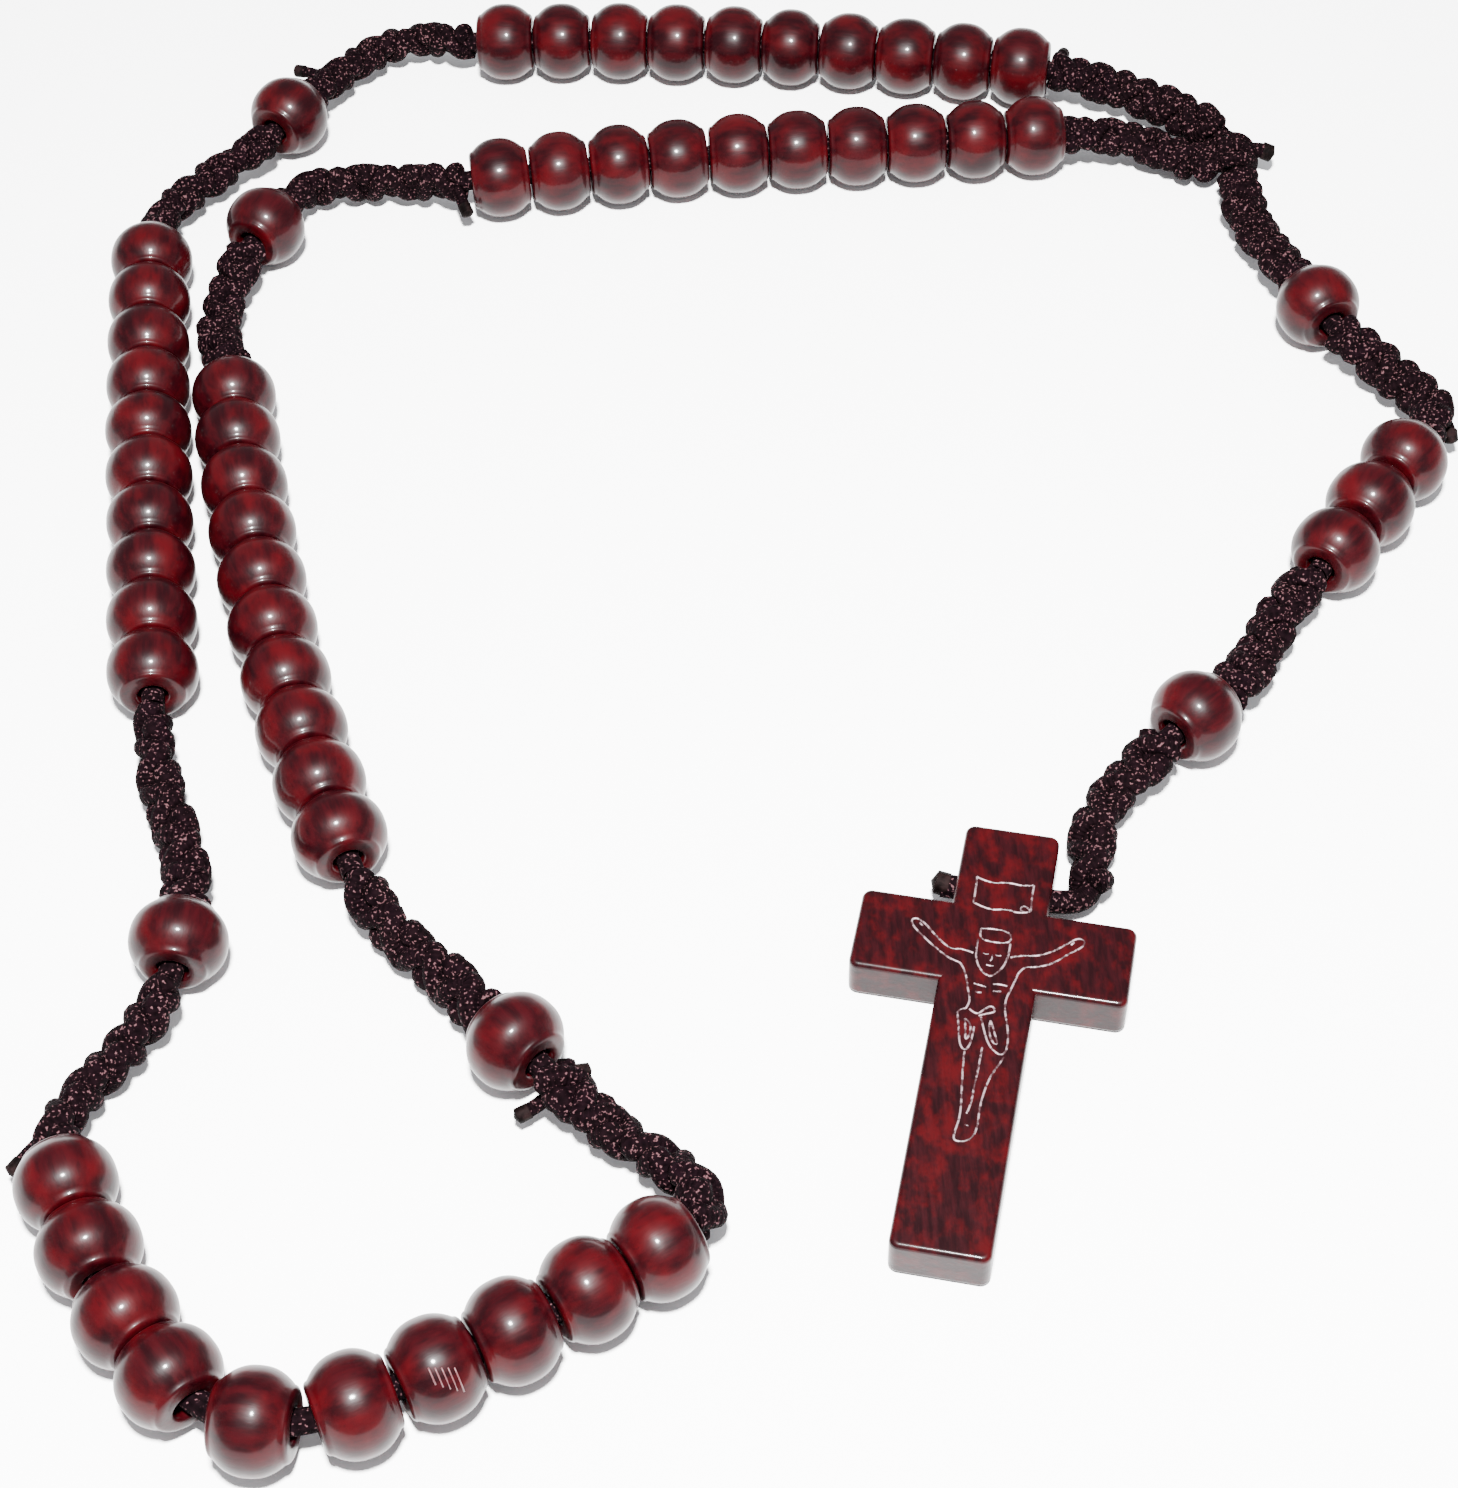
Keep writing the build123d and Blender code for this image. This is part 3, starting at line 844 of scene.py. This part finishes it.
for name, points, body, width in (
    (
        "cut end by the back left bead",
        [(-45.0, 74.6, 3.0), (-46.5, 75.6, 3.4), (-48.6, 76.6, 3.0)],
        "corner",
        0.0006,
    ),
    (
        "cut end by the middle row",
        [(-30.9, 55.4, 3.4), (-30.4, 54.0, 3.0), (-29.9, 52.8, 2.6)],
        "corner",
        0.0006,
    ),
    (
        "cut end by the back row",
        [(32.4, 72.4, 3.6), (33.0, 73.8, 3.4), (33.4, 74.8, 3.0)],
        "rows",
        0.0006,
    ),
    (
        "cut end by the front left bead",
        [(-59.0, -56.4, 2.8), (-60.2, -57.8, 2.6), (-61.0, -59.0, 2.6)],
        "front",
        0.0006,
    ),
    (
        "cut end by the trio",
        [(63.0, 17.6, 3.2), (63.6, 16.2, 3.0), (63.6, 15.0, 2.6)],
        "strand_2",
        0.0006,
    ),
    (
        "cut end below the front bead",
        [(-20.0, -54.0, 2.4), (-21.2, -54.8, 2.0), (-22.2, -55.2, 1.8)],
        "front",
        0.0006,
    ),
    (
        "cut end by the right front spacer",
        [(-18.6, -53.0, 3.6), (-17.9, -52.8, 3.8), (-17.2, -52.6, 3.6)],
        "front",
        0.0006,
    ),
    (
        "cut end by the junction",
        [(50.4, 57.2, 3.2), (51.7, 57.6, 3.2), (52.8, 57.4, 2.8)],
        "rows",
        0.0008,
    ),
    (
        "cord end at the cross",
        [(13.6, -34.9, 2.0), (12.7, -34.7, 2.1), (12.0, -34.5, 2.2)],
        "strand_4",
        0.0009,
    ),
):
    cut_end(name, points, body, width)


# ---- cross ---------------------------------------------------------------------------------------
for item in frame["nodes"]["cross"].material_slots:
    item.link = "OBJECT"
    item.material = CROSS
long_axis = Vector((-0.2267, -0.974, 0))
wide_axis = Vector((0.974, -0.2267, 0))
head_top = Vector((0.01836, -0.0306, 0.0))
ENGRAVED_DEPTH = 0.02


def on_cross(s, w, lift):
    """A point on the upper face: s along from the head's top edge, w to the right."""
    return tuple(head_top + (long_axis * s + wide_axis * w + Vector((0, 0, 4.0 + lift))) * MM)


def engrave(name, lines, width=0.1):
    points, faces, uvs = [], [], []
    for line in lines:
        path = [Vector(on_cross(s, w, -ENGRAVED_DEPTH)) for s, w in line]
        smooth = read_line([tuple(p) for p in path]) if len(path) > 2 else path
        tube_parts(smooth, width * MM, 8, points, faces, uvs)
    obj = mesh_object(name, points, faces, ENGRAVED, uvs=uvs)
    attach(obj, "cross")
    return obj


engrave("banner", [
    [(5.4, -2.3), (5.9, -1.2), (5.5, 0.4), (5.7, 1.6), (5.4, 2.4)],
    [(5.4, -2.3), (6.6, -2.2), (8.0, -2.2)],
    [(8.0, -2.2), (8.6, -1.0), (8.2, 0.6), (8.5, 1.6), (8.1, 2.5)],
    [(5.4, 2.4), (6.8, 2.35), (8.1, 2.5)],
    [(8.1, 2.5), (7.6, 2.1), (7.8, 1.6), (8.3, 1.8), (8.2, 2.3)],
])
engrave("head", [
    [
        (10.5, -1.2), (10.3, 0.0), (10.5, 1.2), (11.5, 1.35), (11.7, 0.0), (11.5, -1.35),
        (10.5, -1.2),
    ],
    [(11.6, -1.3), (12.8, -1.35), (14.1, -1.0), (14.9, -0.3), (15.0, 0.1)],
    [(11.6, 1.3), (12.8, 1.35), (14.1, 1.0), (14.9, 0.4), (15.0, 0.1)],
])
engrave("calm face", [
    [(12.85, -0.72), (12.98, -0.5), (12.85, -0.26)],
    [(12.85, 0.26), (12.98, 0.5), (12.85, 0.72)],
    [(12.9, 0.04), (13.4, 0.1), (13.5, -0.06)],
    [(13.95, -0.3), (14.02, 0.0), (13.95, 0.3)],
], 0.08)
engrave("arms", [
    [
        (13.0, -1.5), (12.7, -2.4), (13.0, -3.3), (12.0, -4.6), (10.9, -5.6), (10.4, -6.4),
        (10.6, -6.9), (11.2, -6.7), (12.2, -5.6), (13.4, -4.1), (14.0, -3.0), (14.1, -2.2),
        (15.4, -1.7),
    ],
    [
        (12.9, 1.5), (12.5, 2.4), (12.4, 3.6), (11.6, 4.9), (10.6, 5.9), (10.0, 6.6),
        (10.2, 7.2), (10.9, 7.0), (11.7, 6.0), (12.9, 4.9), (13.5, 3.6), (13.6, 2.6),
        (14.4, 2.3),
    ],
    [(10.8, -6.2), (11.1, -5.9)],
    [(10.5, 6.3), (10.8, 6.1)],
])
engrave("torso", [
    [(15.4, -1.7), (16.6, -1.4), (17.7, -1.0), (18.4, -1.3)],
    [(14.4, 2.3), (15.8, 2.0), (17.2, 1.6), (18.2, 1.8)],
    [(15.9, -1.0), (16.0, -0.4), (16.1, 0.0)],
    [(15.7, 0.5), (15.6, 1.1), (15.7, 1.6)],
    [(16.7, -0.8), (16.7, -0.3)],
    [(16.4, 0.6), (16.3, 1.2)],
])
engrave("cloth", [
    [
        (18.4, -1.3), (18.6, -1.9), (19.3, -1.8), (20.6, -1.5), (21.8, -1.3), (22.4, -0.8),
        (21.6, -0.4), (20.0, -0.4),
    ],
    [(18.4, -1.0), (18.9, -0.4), (18.3, 0.1), (17.7, 0.7), (18.3, 1.1), (18.6, 0.4), (18.9, -0.2)],
    [
        (18.2, 1.8), (19.2, 2.1), (20.6, 2.4), (22.0, 2.4), (22.3, 1.9), (21.6, 1.0),
        (20.2, 0.4), (19.0, 0.0),
    ],
    [(19.2, 0.8), (20.4, 1.3), (21.4, 1.7), (21.2, 1.2), (20.0, 0.7), (19.2, 0.8)],
    [(19.4, -1.2), (20.6, -1.0), (21.4, -0.9), (20.8, -0.6), (19.6, -0.7), (19.4, -1.2)],
])
engrave("legs and feet", [
    [
        (22.4, -0.8), (24.0, -0.7), (25.8, -0.5), (27.6, -0.3), (28.8, -0.3), (30.0, -0.5),
        (30.6, -0.4), (30.5, 0.4), (30.0, 1.0), (28.8, 1.2), (27.5, 1.1), (26.0, 1.2),
        (24.2, 1.5), (22.4, 2.3),
    ],
    [(21.8, 0.5), (23.6, 0.5), (25.6, 0.4), (27.2, 0.4), (28.0, 0.2)],
    [(29.0, 0.2), (29.1, 0.5)],
])


# ---- floor and lights ----------------------------------------------------------------------------
def add_floor():
    half = 1.5
    points = [(-half, -half, 0), (half, -half, 0), (half, half, 0), (-half, half, 0)]
    mat, _, inputs = material("pale floor")
    inputs["Base Color"].default_value = (0.95, 0.95, 0.95, 1)
    inputs["Roughness"].default_value = 0.9
    inputs["Specular IOR Level"].default_value = 0.1
    floor = mesh_object("floor", points, [(0, 1, 2, 3)], mat, smooth=False)
    clear_of_piece = 0.0001
    floor.location.z = -clear_of_piece


def add_light(name, place, target, size, power):
    data = bpy.data.lights.new(name, "AREA")
    data.shape = "DISK"
    data.size = size
    data.energy = power
    obj = bpy.data.objects.new(name, data)
    bpy.context.scene.collection.objects.link(obj)
    obj.location = place
    obj.rotation_euler = (Vector(target) - Vector(place)).to_track_quat("-Z", "Y").to_euler()


add_floor()
add_light("key", (-0.005, -0.15, 0.36), (-0.005, -0.017, 0), 0.04, 17.0)

world = bpy.data.worlds.new("studio")
bpy.context.scene.world = world
world.use_nodes = True
backdrop = world.node_tree.nodes["Background"].inputs
backdrop["Color"].default_value = (0.95, 0.96, 1.0, 1)
backdrop["Strength"].default_value = 0.9
